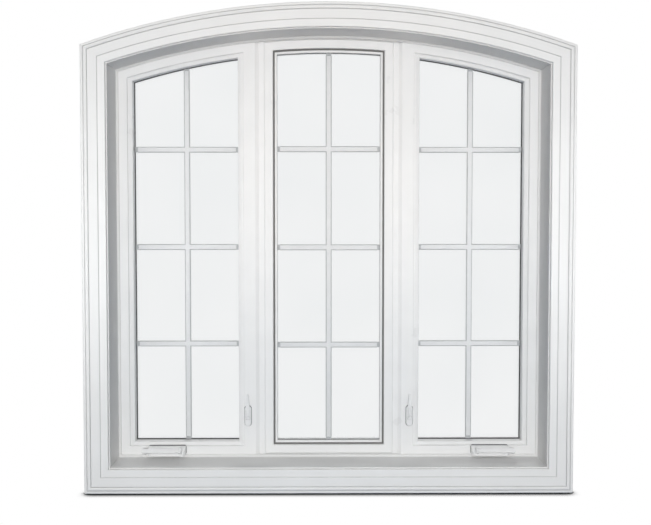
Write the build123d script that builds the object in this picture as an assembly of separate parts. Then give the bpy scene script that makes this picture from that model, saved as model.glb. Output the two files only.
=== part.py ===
from build123d import *
from math import asin, degrees, sqrt
import os

# Arch-top triple window seen from the room: a cased, deep-jambed opening that holds
# three mulled frames, with a fixed light in the middle and a casement on each side.
# Millimetres. X runs along the wall, +Y points outdoors, +Z up.
# The origin is the middle of the frame sill's underside.

# The finished opening, measured between the faces of the jamb boards
OPENING_WIDTH = 1637.0
OPENING_SIDE_HEIGHT = 1503.0
ARCH_RISE = 130.0

# Jamb boards that line the wall between the casing and the frames
BOARD_THICKNESS = 19.0
BOARD_DEPTH = 116.0
NIB_WIDTH = 9.0
NIB_DEPTH = 5.0
NIB_CHAMFER = 1.0

# Casing: the moulding that frames the opening on the wall's face
CASING_WIDTH = 89.0
CASING_REVEAL = 4.0
CASING_OUTER_THICKNESS = 16.0
CASING_BEAD_THICKNESS = 19.0
CASING_FIELD_THICKNESS = 15.5
CASING_INNER_THICKNESS = 12.0
CASING_EDGE_EASE = 1.5
CASING_BEAD_START = 11.0
CASING_BEAD_END = 25.5
CASING_STEP = 61.5
CASING_GROOVE = 3.2
CASING_CHAMFER = 3.0
CASING_BACK_RELIEF = 2.5

# The three frames
FRAME_DEPTH = 83.0
CENTRE_FRAME_WIDTH = 540.0
FRAME_FACE_WIDTH = 61.0
FRAME_WALL = 19.0
FRAME_FLANGE = 8.0
FRAME_BEVEL_WIDTH = 14.0
FRAME_BEVEL_DEPTH = 10.0
EDGE_ROUND = 2.0

# The fixed light's frame and its glazing beads
FIXED_FACE_WIDTH = 54.5
FIXED_WALL = 45.0
FIXED_LIP_WIDTH = 19.0
FIXED_LIP_DEPTH = 4.5
FIXED_STOP_WIDTH = 70.0
FIXED_STOP_TAPER = 14.0
FIXED_RAIL_EXTRA = 10.0
BEAD_NOSE_WIDTH = 9.0
BEAD_NOSE_PROUD = 1.0
BEAD_NOSE_DEPTH = 8.0
BEAD_BASE_DEPTH = 3.0
BEAD_JOINT_GAP = 0.3

# The casement sashes; the gaps are from the frame's wall to the sash's outer edge
SASH_WIDTH = 50.0
SASH_BACK_CLEARANCE = 10.0
SASH_HINGE_GAP = 8.0
SASH_LOCK_GAP = 13.0
SASH_SILL_GAP = 4.0
SASH_HEAD_GAP = 5.5
SASH_BEVEL_WIDTH = 15.0
SASH_BEVEL_DEPTH = 8.0
SASH_NOSE = 2.0
SASH_GLASS_RECESS = 25.0
GLASS_POCKET = 16.0
GLASS_EDGE_GAP = 2.0

# Sealed glass units
PANE_THICKNESS = 3.0
AIR_GAP = 13.0
SPACER_WIDTH = 10.0
SASH_SPACER_SHOW = 0.5
FIXED_SPACER_HIDDEN = 1.5
FIXED_GLASS_EDGE = 50.0

# Bars between the panes
BAR_WIDTH = 23.0
BAR_THICKNESS = 8.0
BAR_FLAT = 16.0
BAR_EDGE = 1.5
BAR_COUNT = 3
BAR_FIRST_LEVEL = 454.5
BAR_SPACING = 383.0
BAR_END_GAP = 0.2

# Sash lock on the lock jamb
LOCK_FROM_JOINT = 45.0
LOCK_BASE_LEVEL = 140.0
LOCK_PLATE_WIDTH = 26.0
LOCK_PLATE_HEIGHT = 80.0
LOCK_PLATE_THICKNESS = 10.0
LOCK_PIVOT_RISE = 34.0
LOCK_PIVOT_CLEAR = 5.5
LOCK_PIN_RADIUS = 2.0
LOCK_HUB_RADIUS = 4.5
LOCK_HUB_WIDTH = 9.0
LOCK_HUB_SIDE_GAP = 0.4
LOCK_LUG_THICKNESS = 4.0
LEVER_LENGTH = 94.0
LEVER_WIDTH = 15.0
LEVER_TIP_WIDTH = 7.0
LEVER_ROOT_THICKNESS = 8.0
LEVER_TIP_THICKNESS = 4.0

# Crank operator on the frame sill, its far end set from the frame's hinge side
COVER_FROM_HINGE = 134.5
COVER_LENGTH = 146.0
COVER_LOW = 29.0
COVER_HIGH = 63.0
COVER_FOOT_REACH = 31.0
COVER_LIP_REACH = 35.0
COVER_LIP_RISE = 4.0
COVER_SHOULDER_REACH = 15.0
COVER_SHOULDER_DROP = 4.0
COVER_TOP_REACH = 9.0
COVER_END_ROUND = 24.0
COVER_EDGE_ROUND = 2.0
CRANK_HUB_FROM_END = 18.0
CRANK_PIN_RISE = 10.0
CRANK_PIN_RADIUS = 2.0
CRANK_HUB_RADIUS = 5.0
CRANK_ROOT_WIDTH = 11.0
CRANK_EAR_GAP = 0.5
CRANK_EAR_THICKNESS = 4.0
CRANK_EAR_HALF = 6.0
CRANK_EAR_ROOT = 2.0
CRANK_ARM_CLEAR = 5.5
CRANK_ARM_THICKNESS = 6.5
CRANK_ARM_WIDTH = 16.0
CRANK_ARM_REACH = 142.0
CRANK_KNOB_RADIUS = 8.0
CRANK_KNOB_NECK = 5.0
CRANK_KNOB_LENGTH = 20.0

# Running clearance of a pivot pin in its bore
PIVOT_CLEARANCE = 0.08

# Places that follow from the sizes above
FACE_Y = -FRAME_DEPTH / 2
BACK_Y = FRAME_DEPTH / 2
WALL_Y = FACE_Y - BOARD_DEPTH
FLANGE_Y = FACE_Y + FRAME_FLANGE
GLASS_UNIT = AIR_GAP + 2 * PANE_THICKNESS
SASH_GLASS_Y = FLANGE_Y + SASH_BEVEL_DEPTH + SASH_GLASS_RECESS
FIXED_GLASS_Y = FLANGE_Y - BEAD_NOSE_PROUD + BEAD_NOSE_DEPTH
JOINT_X = CENTRE_FRAME_WIDTH / 2
FRAME_HALF = OPENING_WIDTH / 2 + BOARD_THICKNESS
OPENING_RADIUS = ((OPENING_WIDTH / 2) ** 2 + ARCH_RISE**2) / (2 * ARCH_RISE)
FRAME_RADIUS = OPENING_RADIUS + BOARD_THICKNESS
ARCH_CENTRE_Z = BOARD_THICKNESS + OPENING_SIDE_HEIGHT + ARCH_RISE - OPENING_RADIUS
ARCH_AXIS = Axis((0, 0, ARCH_CENTRE_Z), (0, 1, 0))
CUT_MARGIN = 3.0
CASING_OUTSET = CASING_WIDTH + CASING_REVEAL - BOARD_THICKNESS


class Outline:
    """Two upright sides, a level bottom and an arch about the common centre."""

    def __init__(self, left, right, bottom, radius):
        self.left = left
        self.right = right
        self.bottom = bottom
        self.radius = radius

    def inset(self, left, right=None, bottom=None, top=None):
        """The outline moved inwards, by one distance or by one for each side."""
        right = left if right is None else right
        bottom = left if bottom is None else bottom
        top = left if top is None else top
        return Outline(self.left + left, self.right - right, self.bottom + bottom, self.radius - top)

    def arch_z(self, x):
        return ARCH_CENTRE_Z + sqrt(self.radius**2 - x**2)

    def middle(self):
        return (self.left + self.right) / 2

    def face(self):
        middle = self.middle()
        low_right = (self.right, self.bottom)
        high_right = (self.right, self.arch_z(self.right))
        high_left = (self.left, self.arch_z(self.left))
        crown = (middle, self.arch_z(middle))
        sides = Polyline(high_left, (self.left, self.bottom), low_right, high_right)
        return make_face([*sides.edges(), ThreePointArc(high_right, crown, high_left)])

    def slab(self, front, back):
        """The filled outline between two depths."""
        return extrude(Plane((0, back, 0), (1, 0, 0), (0, -1, 0)) * self.face(), back - front)


def section(*points):
    """A member's cross-section: distance in from its outer edge, then depth."""
    return make_face(Polyline(*points, close=True))


def mitre_cut(bar, outer, inner, kept, gap):
    """The bar cut off along a mitre line, on the side that holds the kept point."""
    run = Vector(outer[0] - inner[0], 0, outer[1] - inner[1])
    start = Vector(inner[0], 0, inner[1])
    across = run.cross(Vector(0, 1, 0)).normalized()
    if across.dot(Vector(kept[0], 0, kept[1]) - start) < 0:
        across = -across
    plane = Plane(start + across * gap, x_dir=run, z_dir=across)
    return split(bar, bisect_by=plane, keep=Keep.TOP)


def uncut_bars(outline, shape, rail_shape, width):
    """Uprights of one cross-section and rails of another, each a little longer than it has to be."""
    low = outline.bottom - CUT_MARGIN
    high = ARCH_CENTRE_Z + outline.radius + CUT_MARGIN
    far = outline.right + CUT_MARGIN
    length = far - outline.left + CUT_MARGIN
    spread = degrees(CUT_MARGIN / (outline.radius - width))
    start = degrees(asin(outline.left / (outline.radius - width))) - spread
    end = degrees(asin(outline.right / (outline.radius - width))) + spread
    upright = Plane((0, 0, ARCH_CENTRE_Z + outline.radius), (0, 0, -1), (1, 0, 0)) * rail_shape
    return {
        "left": extrude(Plane((outline.left, 0, low), (1, 0, 0), (0, 0, 1)) * shape, high - low),
        "right": extrude(Plane((outline.right, 0, high), (-1, 0, 0), (0, 0, -1)) * shape, high - low),
        "bottom": extrude(Plane((far, 0, outline.bottom), (0, 0, 1), (-1, 0, 0)) * rail_shape, length),
        "head": revolve(upright.rotate(ARCH_AXIS, start), ARCH_AXIS, end - start),
    }


def ring_members(outline, shape, width, joint_gap=0.0, rail_shape=None, rail_extra=0.0):
    """Left, right, bottom and head members, mitred at the corners.

    Rails that are wider than the uprights have the extra as a plain strip along their outer edge.
    """
    outer = outline.inset(0, 0, rail_extra, rail_extra)
    inner = outer.inset(width)
    low_left = ((outer.left, outer.bottom), (inner.left, inner.bottom))
    low_right = ((outer.right, outer.bottom), (inner.right, inner.bottom))
    high_left = ((outer.left, outer.arch_z(outer.left)), (inner.left, inner.arch_z(inner.left)))
    high_right = ((outer.right, outer.arch_z(outer.right)), (inner.right, inner.arch_z(inner.right)))
    ends = {
        "left": (low_left, high_left),
        "right": (low_right, high_right),
        "bottom": (low_left, low_right),
        "head": (high_left, high_right),
    }
    middle = outline.middle()
    crown = outline.arch_z(middle)
    if rail_extra:
        left_end = ((outline.left, crown), (outline.left, outline.bottom))
        right_end = ((outline.right, crown), (outline.right, outline.bottom))
        ends["bottom"] += (left_end, right_end)
        ends["head"] += (left_end, right_end)
    half_way = (outline.bottom + crown) / 2
    kept = {
        "left": (outline.left, half_way),
        "right": (outline.right, half_way),
        "bottom": (middle, outline.bottom),
        "head": (middle, crown),
    }
    members = uncut_bars(outline, shape, rail_shape or shape, width + rail_extra)
    for side, mitres in ends.items():
        gap = joint_gap if side in ("left", "right") else 0
        for outer_corner, inner_corner in mitres:
            members[side] = mitre_cut(members[side], outer_corner, inner_corner, kept[side], gap)
    return members


def casing_section():
    """A stepped moulding: eased outer band, bead, flat field and a lower inner band."""

    def at(distance, thickness):
        return (distance, WALL_Y - thickness)

    groove = CASING_GROOVE / 2
    bead_low = CASING_OUTER_THICKNESS + groove / 2
    bead_middle = (CASING_BEAD_START + CASING_BEAD_END) / 2
    outer_band = Polyline(
        at(0, 0),
        at(0, CASING_OUTER_THICKNESS - CASING_CHAMFER),
        at(CASING_CHAMFER, CASING_OUTER_THICKNESS),
        at(CASING_BEAD_START - groove, CASING_OUTER_THICKNESS),
        at(CASING_BEAD_START, CASING_OUTER_THICKNESS - CASING_GROOVE),
        at(CASING_BEAD_START + groove, bead_low),
    )
    bead = ThreePointArc(
        at(CASING_BEAD_START + groove, bead_low),
        at(bead_middle, CASING_BEAD_THICKNESS),
        at(CASING_BEAD_END - groove, bead_low),
    )
    field = Polyline(
        at(CASING_BEAD_END - groove, bead_low),
        at(CASING_BEAD_END, CASING_FIELD_THICKNESS - CASING_GROOVE),
        at(CASING_BEAD_END + groove, CASING_FIELD_THICKNESS),
        at(CASING_STEP - groove, CASING_FIELD_THICKNESS),
        at(CASING_STEP, CASING_INNER_THICKNESS),
        at(CASING_WIDTH - CASING_EDGE_EASE, CASING_INNER_THICKNESS),
        at(CASING_WIDTH, CASING_INNER_THICKNESS - CASING_EDGE_EASE),
        at(CASING_WIDTH, 0),
        at(CASING_STEP + CASING_GROOVE, 0),
        at(CASING_STEP, CASING_BACK_RELIEF),
        at(CASING_BEAD_END + CASING_GROOVE, CASING_BACK_RELIEF),
        at(CASING_BEAD_END, 0),
        at(0, 0),
    )
    return make_face([*outer_band.edges(), bead, *field.edges()])


def board_section():
    """A plain board with a small nib where it meets the frame's face."""
    inner = BOARD_THICKNESS + NIB_WIDTH
    return section(
        (0, WALL_Y),
        (BOARD_THICKNESS, WALL_Y),
        (BOARD_THICKNESS, FACE_Y - NIB_DEPTH),
        (inner - NIB_CHAMFER, FACE_Y - NIB_DEPTH),
        (inner, FACE_Y - NIB_DEPTH + NIB_CHAMFER),
        (inner, FACE_Y),
        (0, FACE_Y),
    )


def casement_frame_section():
    """An outer wall with an inside flange that the sash closes against."""
    return section(
        (0, FACE_Y + FRAME_BEVEL_DEPTH),
        (FRAME_BEVEL_WIDTH, FACE_Y),
        (FRAME_FACE_WIDTH - EDGE_ROUND, FACE_Y),
        (FRAME_FACE_WIDTH, FACE_Y + EDGE_ROUND),
        (FRAME_FACE_WIDTH, FLANGE_Y),
        (FRAME_WALL, FLANGE_Y),
        (FRAME_WALL, BACK_Y),
        (0, BACK_Y),
    )


def fixed_frame_section(extra):
    """A lipped frame with a glazing stop on its outdoor side; the extra widens its lip."""
    lip = FIXED_LIP_WIDTH + extra
    face = FIXED_FACE_WIDTH + extra
    wall = FIXED_WALL + extra
    stop = FIXED_STOP_WIDTH + extra
    glass_back = FIXED_GLASS_Y + GLASS_UNIT
    return section(
        (0, FACE_Y + FIXED_LIP_DEPTH),
        (lip, FACE_Y + FIXED_LIP_DEPTH),
        (lip + FIXED_LIP_DEPTH, FACE_Y),
        (face - EDGE_ROUND, FACE_Y),
        (face, FACE_Y + EDGE_ROUND),
        (face, FLANGE_Y),
        (wall, FLANGE_Y),
        (wall, glass_back),
        (stop, glass_back),
        (stop, glass_back + EDGE_ROUND),
        (stop - FIXED_STOP_TAPER, BACK_Y),
        (0, BACK_Y),
    )


def bead_section():
    """A snap-in glazing bead: a base on the frame's wall and a nose that shows."""
    inner = FIXED_STOP_WIDTH - FIXED_WALL
    nose = inner - BEAD_NOSE_WIDTH
    front = FLANGE_Y - BEAD_NOSE_PROUD
    base = FIXED_GLASS_Y - BEAD_BASE_DEPTH
    return section(
        (0, base),
        (nose, base),
        (nose, front + EDGE_ROUND),
        (nose + EDGE_ROUND, front),
        (inner - EDGE_ROUND, front),
        (inner, front + EDGE_ROUND),
        (inner, FIXED_GLASS_Y),
        (0, FIXED_GLASS_Y),
    )


def sash_section():
    """A channel that holds the glass, with a bevelled edge towards the room."""
    back = BACK_Y - SASH_BACK_CLEARANCE
    pocket = SASH_WIDTH - GLASS_POCKET
    glass_back = SASH_GLASS_Y + GLASS_UNIT
    return section(
        (0, FLANGE_Y),
        (SASH_WIDTH - SASH_BEVEL_WIDTH, FLANGE_Y),
        (SASH_WIDTH - SASH_NOSE, FLANGE_Y + SASH_BEVEL_DEPTH - SASH_NOSE),
        (SASH_WIDTH, FLANGE_Y + SASH_BEVEL_DEPTH),
        (SASH_WIDTH, SASH_GLASS_Y),
        (pocket, SASH_GLASS_Y),
        (pocket, glass_back),
        (SASH_WIDTH, glass_back),
        (SASH_WIDTH, glass_back + EDGE_ROUND),
        (SASH_WIDTH - EDGE_ROUND * 3, back),
        (0, back),
    )


def glass_unit(edge, front):
    """The two panes of one sealed unit, whose room side is at the given depth."""
    inner = edge.slab(front, front + PANE_THICKNESS)
    outer = edge.slab(front + GLASS_UNIT - PANE_THICKNESS, front + GLASS_UNIT)
    return Compound(children=[inner.solid(), outer.solid()])


def air_space(outline, front):
    """The filled outline between the panes of a sealed unit."""
    return outline.slab(front + PANE_THICKNESS, front + PANE_THICKNESS + AIR_GAP)


def spacer_bar(sightline, front):
    """The bar that keeps the panes apart, bent round the edge of the unit."""
    return (air_space(sightline.inset(-SPACER_WIDTH), front) - air_space(sightline, front)).solid()


def bar_section():
    """A contoured bar: a flat face that falls away to thin edges, alike on both sides."""
    half, flat = BAR_WIDTH / 2, BAR_FLAT / 2
    face, edge = BAR_THICKNESS / 2, BAR_EDGE / 2
    return section(
        (-half, -edge),
        (-flat, -face),
        (flat, -face),
        (half, -edge),
        (half, edge),
        (flat, face),
        (-flat, face),
        (-half, edge),
    )


def grille(sightline, front):
    """One upright bar and a row of level bars, joined where they cross."""
    middle = front + GLASS_UNIT / 2
    centre = sightline.middle()
    high = sightline.arch_z(centre) + CUT_MARGIN
    low = sightline.bottom - CUT_MARGIN
    bars = extrude(Plane((centre, middle, low), (1, 0, 0), (0, 0, 1)) * bar_section(), high - low)
    far = sightline.right + CUT_MARGIN
    length = far - sightline.left + CUT_MARGIN
    for row in range(BAR_COUNT):
        lying = Plane((far, middle, BAR_FIRST_LEVEL + row * BAR_SPACING), (0, 0, 1), (-1, 0, 0))
        bars += extrude(lying * bar_section(), length)
    return bars & air_space(sightline.inset(BAR_END_GAP), front)


def lock_plate(x):
    """A rounded plate with two lugs and the pin that the lever turns on."""
    centre = LOCK_BASE_LEVEL + LOCK_PLATE_HEIGHT / 2
    on_jamb = Plane((x, FACE_Y, centre), (1, 0, 0), (0, -1, 0))
    outline = SlotOverall(LOCK_PLATE_HEIGHT, LOCK_PLATE_WIDTH, rotation=90)
    plate = extrude(on_jamb * outline, LOCK_PLATE_THICKNESS)
    rim = plate.edges().group_by(Axis.Y)[0]
    plate = chamfer(rim, LOCK_PLATE_THICKNESS / 3)

    pivot_y = FACE_Y - LOCK_PLATE_THICKNESS - LOCK_PIVOT_CLEAR
    pivot_z = LOCK_BASE_LEVEL + LOCK_PIVOT_RISE
    inside = LOCK_HUB_WIDTH / 2 + LOCK_HUB_SIDE_GAP
    root_y = FACE_Y - LOCK_PLATE_THICKNESS / 2
    lug_side = make_face(
        Polyline(
            (root_y, pivot_z - LOCK_HUB_RADIUS * 2),
            (pivot_y, pivot_z - LOCK_HUB_RADIUS),
            (pivot_y, pivot_z + LOCK_HUB_RADIUS),
            (root_y, pivot_z + LOCK_HUB_RADIUS * 2),
            close=True,
        )
    ) + Pos(pivot_y, pivot_z) * Circle(LOCK_HUB_RADIUS)
    for side in (-1, 1):
        near = x + side * inside if side > 0 else x - inside - LOCK_LUG_THICKNESS
        plate += extrude(Plane((near, 0, 0), (0, 1, 0), (1, 0, 0)) * lug_side, LOCK_LUG_THICKNESS)
    pin_length = 2 * (inside + LOCK_LUG_THICKNESS)
    pin_plane = Plane((x - pin_length / 2, pivot_y, pivot_z), (0, 1, 0), (1, 0, 0))
    return plate + extrude(pin_plane * Circle(LOCK_PIN_RADIUS), pin_length)


def lock_lever(x):
    """A tapered lever: the meeting of its front outline and its side outline."""
    pivot_y = FACE_Y - LOCK_PLATE_THICKNESS - LOCK_PIVOT_CLEAR
    pivot_z = LOCK_BASE_LEVEL + LOCK_PIVOT_RISE
    neck = LOCK_HUB_RADIUS * 3
    tip = pivot_z + LEVER_LENGTH
    half, half_tip, half_hub = LEVER_WIDTH / 2, LEVER_TIP_WIDTH / 2, LOCK_HUB_WIDTH / 2
    front_outline = make_face(
        [
            *Polyline(
                (x + half_tip, tip - half_tip),
                (x + half, pivot_z + LEVER_LENGTH / 2),
                (x + half_hub, pivot_z + neck),
                (x + half_hub, pivot_z - LOCK_HUB_RADIUS),
                (x - half_hub, pivot_z - LOCK_HUB_RADIUS),
                (x - half_hub, pivot_z + neck),
                (x - half, pivot_z + LEVER_LENGTH / 2),
                (x - half_tip, tip - half_tip),
            ).edges(),
            ThreePointArc((x - half_tip, tip - half_tip), (x, tip), (x + half_tip, tip - half_tip)),
        ]
    )
    depth = 4 * LEVER_ROOT_THICKNESS
    front = extrude(Plane((0, pivot_y + depth / 2, 0), (1, 0, 0), (0, -1, 0)) * front_outline, depth)
    bow = pivot_y - LEVER_ROOT_THICKNESS
    side_outline = make_face(
        [
            *Polyline((pivot_y, pivot_z), (pivot_y, tip), (pivot_y - LEVER_TIP_THICKNESS, tip)).edges(),
            ThreePointArc(
                (pivot_y - LEVER_TIP_THICKNESS, tip),
                (bow, pivot_z + LEVER_LENGTH / 2),
                (pivot_y - LOCK_HUB_RADIUS, pivot_z),
            ),
            Line((pivot_y - LOCK_HUB_RADIUS, pivot_z), (pivot_y, pivot_z)),
        ]
    ) + Pos(pivot_y, pivot_z) * Circle(LOCK_HUB_RADIUS)
    across = Plane((x - LEVER_WIDTH, 0, 0), (0, 1, 0), (1, 0, 0))
    side = extrude(across * side_outline, 2 * LEVER_WIDTH)
    bore = Circle(LOCK_PIN_RADIUS + PIVOT_CLEARANCE)
    hole_plane = Plane((x - LEVER_WIDTH, pivot_y, pivot_z), (0, 1, 0), (1, 0, 0))
    return (front & side) - extrude(hole_plane * bore, 2 * LEVER_WIDTH)


def cover_points():
    """The operator cover's side outline, as reach into the room and height."""
    return [
        (0, COVER_LOW),
        (COVER_FOOT_REACH, COVER_LOW),
        (COVER_LIP_REACH, COVER_LOW + COVER_LIP_RISE),
        (COVER_SHOULDER_REACH, COVER_HIGH - COVER_SHOULDER_DROP),
        (COVER_TOP_REACH, COVER_HIGH),
        (0, COVER_HIGH),
    ]


def crank_plane(near):
    """The crank's own plane: x along the folded arm, z square out of the cover's slope."""
    low, high = cover_points()[2:4]
    along_slope = Vector(0, low[0] - high[0], high[1] - low[1]).normalized()
    outward = Vector(0, -along_slope.Z, along_slope.Y)
    hub_x = near - CRANK_HUB_FROM_END
    middle = Vector(hub_x, FACE_Y - (low[0] + high[0]) / 2, (low[1] + high[1]) / 2)
    return Plane(middle, x_dir=(-1, 0, 0), z_dir=outward)


def operator_cover(near):
    """A wedge-shaped housing with rounded ends, and the ears that hold the crank's pin."""
    outline = make_face(Polyline(*[(FACE_Y - reach, z) for reach, z in cover_points()], close=True))
    wedge = extrude(Plane((near - COVER_LENGTH, 0, 0), (0, 1, 0), (1, 0, 0)) * outline, COVER_LENGTH)
    plan = Rectangle(COVER_LENGTH, 2 * COVER_LIP_REACH)
    plan = fillet(plan.vertices(), COVER_END_ROUND)
    middle = near - COVER_LENGTH / 2
    trim = extrude(Plane((middle, FACE_Y, COVER_LOW)) * plan, COVER_HIGH - COVER_LOW)
    cover = wedge & trim
    rim = cover.edges().filter_by(lambda edge: edge.center().Y < FACE_Y - COVER_EDGE_ROUND)
    cover = fillet(rim.filter_by(Axis.X), COVER_EDGE_ROUND)

    place = crank_plane(near)
    inside = CRANK_ROOT_WIDTH / 2 + CRANK_EAR_GAP
    ear = Pos(0, CRANK_PIN_RISE) * Circle(CRANK_EAR_HALF)
    ear_height = CRANK_PIN_RISE + CRANK_EAR_ROOT
    ear += Pos(0, CRANK_PIN_RISE - ear_height / 2) * Rectangle(2 * CRANK_EAR_HALF, ear_height)
    for side in (-1, 1):
        start = inside if side > 0 else -inside - CRANK_EAR_THICKNESS
        upright = Plane((0, start + CRANK_EAR_THICKNESS, 0), (1, 0, 0), (0, -1, 0))
        cover += place * extrude(upright * ear, CRANK_EAR_THICKNESS)
    pin_length = 2 * (inside + CRANK_EAR_THICKNESS)
    pin = Plane((0, pin_length / 2, CRANK_PIN_RISE), (1, 0, 0), (0, -1, 0)) * Circle(CRANK_PIN_RADIUS)
    return cover + place * extrude(pin, pin_length)


def crank_handle(near):
    """A folding arm that lies along the cover, with its knob turned in past the cover's end."""
    root, wide = CRANK_ROOT_WIDTH / 2, CRANK_ARM_WIDTH / 2
    reach = CRANK_ARM_REACH
    clear_of_ears = CRANK_EAR_HALF * 2
    plan = make_face(
        [
            *Polyline(
                (reach, wide),
                (clear_of_ears + CRANK_ARM_WIDTH, wide),
                (clear_of_ears, root),
                (-CRANK_HUB_RADIUS, root),
                (-CRANK_HUB_RADIUS, -root),
                (clear_of_ears, -root),
                (clear_of_ears + CRANK_ARM_WIDTH, -wide),
                (reach, -wide),
            ).edges(),
            ThreePointArc((reach, -wide), (reach + wide, 0), (reach, wide)),
        ]
    )
    tall = CRANK_PIN_RISE * 2
    shadow = extrude(plan, tall)
    top = CRANK_ARM_CLEAR + CRANK_ARM_THICKNESS
    profile = make_face(
        Polyline((0, CRANK_ARM_CLEAR), (reach + wide, CRANK_ARM_CLEAR), (reach + wide, top), (0, top), close=True)
    ) + Pos(0, CRANK_PIN_RISE) * Circle(CRANK_HUB_RADIUS)
    side = extrude(Plane((0, CRANK_ARM_WIDTH, 0), (1, 0, 0), (0, -1, 0)) * profile, 2 * CRANK_ARM_WIDTH)
    arm = shadow & side
    bore = Circle(CRANK_PIN_RADIUS + PIVOT_CLEARANCE)
    hole = Plane((0, CRANK_ARM_WIDTH, CRANK_PIN_RISE), (1, 0, 0), (0, -1, 0)) * bore
    arm -= extrude(hole, 2 * CRANK_ARM_WIDTH)

    low = CRANK_ARM_CLEAR - CRANK_KNOB_LENGTH
    belly = low + CRANK_KNOB_LENGTH / 2
    rivet = CRANK_ARM_CLEAR + CRANK_ARM_THICKNESS / 2
    knob_side = section(
        (0, low),
        (0, rivet),
        (CRANK_KNOB_NECK, rivet),
        (CRANK_KNOB_NECK, CRANK_ARM_CLEAR),
        (CRANK_KNOB_RADIUS, belly + CRANK_KNOB_NECK),
        (CRANK_KNOB_RADIUS, belly - CRANK_KNOB_NECK),
        (CRANK_KNOB_NECK, low),
    )
    knob = revolve(Plane.XZ * knob_side, Axis.Z)
    return crank_plane(near) * (arm + Pos(reach, 0, 0) * knob)


def save(name, shape):
    export_step(shape, f"parts/{name}.step")


def save_pair(name, shape):
    """Writes a left-hand piece and its mirror image on the right."""
    save(f"left_{name}", shape)
    save(f"right_{name}", mirror(shape, Plane.YZ))


def main():
    os.makedirs("parts", exist_ok=True)
    whole = Outline(-FRAME_HALF, FRAME_HALF, 0, FRAME_RADIUS)

    casing = ring_members(whole.inset(-CASING_OUTSET), casing_section(), CASING_WIDTH)
    boards = ring_members(whole, board_section(), BOARD_THICKNESS + NIB_WIDTH)
    for side in ("left", "right", "bottom", "head"):
        save(f"{side}_casing", casing[side])
        save(f"{'sill' if side == 'bottom' else side}_extension", boards[side])

    centre = Outline(-JOINT_X, JOINT_X, 0, FRAME_RADIUS)
    fixed = ring_members(
        centre,
        fixed_frame_section(0),
        FIXED_STOP_WIDTH,
        rail_shape=fixed_frame_section(FIXED_RAIL_EXTRA),
        rail_extra=FIXED_RAIL_EXTRA,
    )
    save("centre_frame_left_jamb", fixed["left"])
    save("centre_frame_right_jamb", fixed["right"])
    save("centre_frame_sill", fixed["bottom"])
    save("centre_frame_head", fixed["head"])
    glazed = centre.inset(0, 0, FIXED_RAIL_EXTRA, FIXED_RAIL_EXTRA)
    bead_width = FIXED_STOP_WIDTH - FIXED_WALL
    beads = ring_members(glazed.inset(FIXED_WALL), bead_section(), bead_width, BEAD_JOINT_GAP)
    save("centre_glazing_beads", Compound(children=[bead.solid() for bead in beads.values()]))

    flank = Outline(-FRAME_HALF, -JOINT_X, 0, FRAME_RADIUS)
    frame = ring_members(flank, casement_frame_section(), FRAME_FACE_WIDTH)
    save_pair("frame_hinge_jamb", frame["left"])
    save_pair("frame_lock_jamb", frame["right"])
    save_pair("frame_sill", frame["bottom"])
    save_pair("frame_head", frame["head"])
    within_walls = flank.inset(FRAME_WALL)
    sash_edge = within_walls.inset(SASH_HINGE_GAP, SASH_LOCK_GAP, SASH_SILL_GAP, SASH_HEAD_GAP)
    sash = ring_members(sash_edge, sash_section(), SASH_WIDTH)
    save_pair("sash_hinge_stile", sash["left"])
    save_pair("sash_lock_stile", sash["right"])
    save_pair("sash_bottom_rail", sash["bottom"])
    save_pair("sash_top_rail", sash["head"])

    fixed_sightline = glazed.inset(FIXED_STOP_WIDTH - FIXED_SPACER_HIDDEN)
    sash_sightline = sash_edge.inset(SASH_WIDTH + SASH_SPACER_SHOW)
    save("centre_glass", glass_unit(glazed.inset(FIXED_GLASS_EDGE), FIXED_GLASS_Y))
    sash_glass_edge = sash_edge.inset(SASH_WIDTH - GLASS_POCKET + GLASS_EDGE_GAP)
    save_pair("glass", glass_unit(sash_glass_edge, SASH_GLASS_Y))
    flank_spacer = spacer_bar(sash_sightline, SASH_GLASS_Y)
    fixed_spacer = spacer_bar(fixed_sightline, FIXED_GLASS_Y)
    spacers = [fixed_spacer, flank_spacer, mirror(flank_spacer, Plane.YZ)]
    save("glass_spacers", Compound(children=spacers))
    save("centre_grille", grille(fixed_sightline, FIXED_GLASS_Y))
    save_pair("grille", grille(sash_sightline, SASH_GLASS_Y))

    lock_x = -JOINT_X - LOCK_FROM_JOINT
    save_pair("lock_plate", lock_plate(lock_x))
    save_pair("lock_lever", lock_lever(lock_x))
    cover_near = -FRAME_HALF + COVER_FROM_HINGE + COVER_LENGTH
    save_pair("operator_cover", operator_cover(cover_near))
    save_pair("crank_handle", crank_handle(cover_near))


main()
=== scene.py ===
# %% [markdown]
# An arch-topped window in three lights: a fixed light stands between two casements, deep jamb boards line
# the wall, and a moulded casing frames it all on the room's side. The solids are already exact, so this
# lesson leaves their sizes alone. It gives every surface its finish, and models by hand the small pieces
# that a maker fits last.

# %% Load the finished solids
import math

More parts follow.
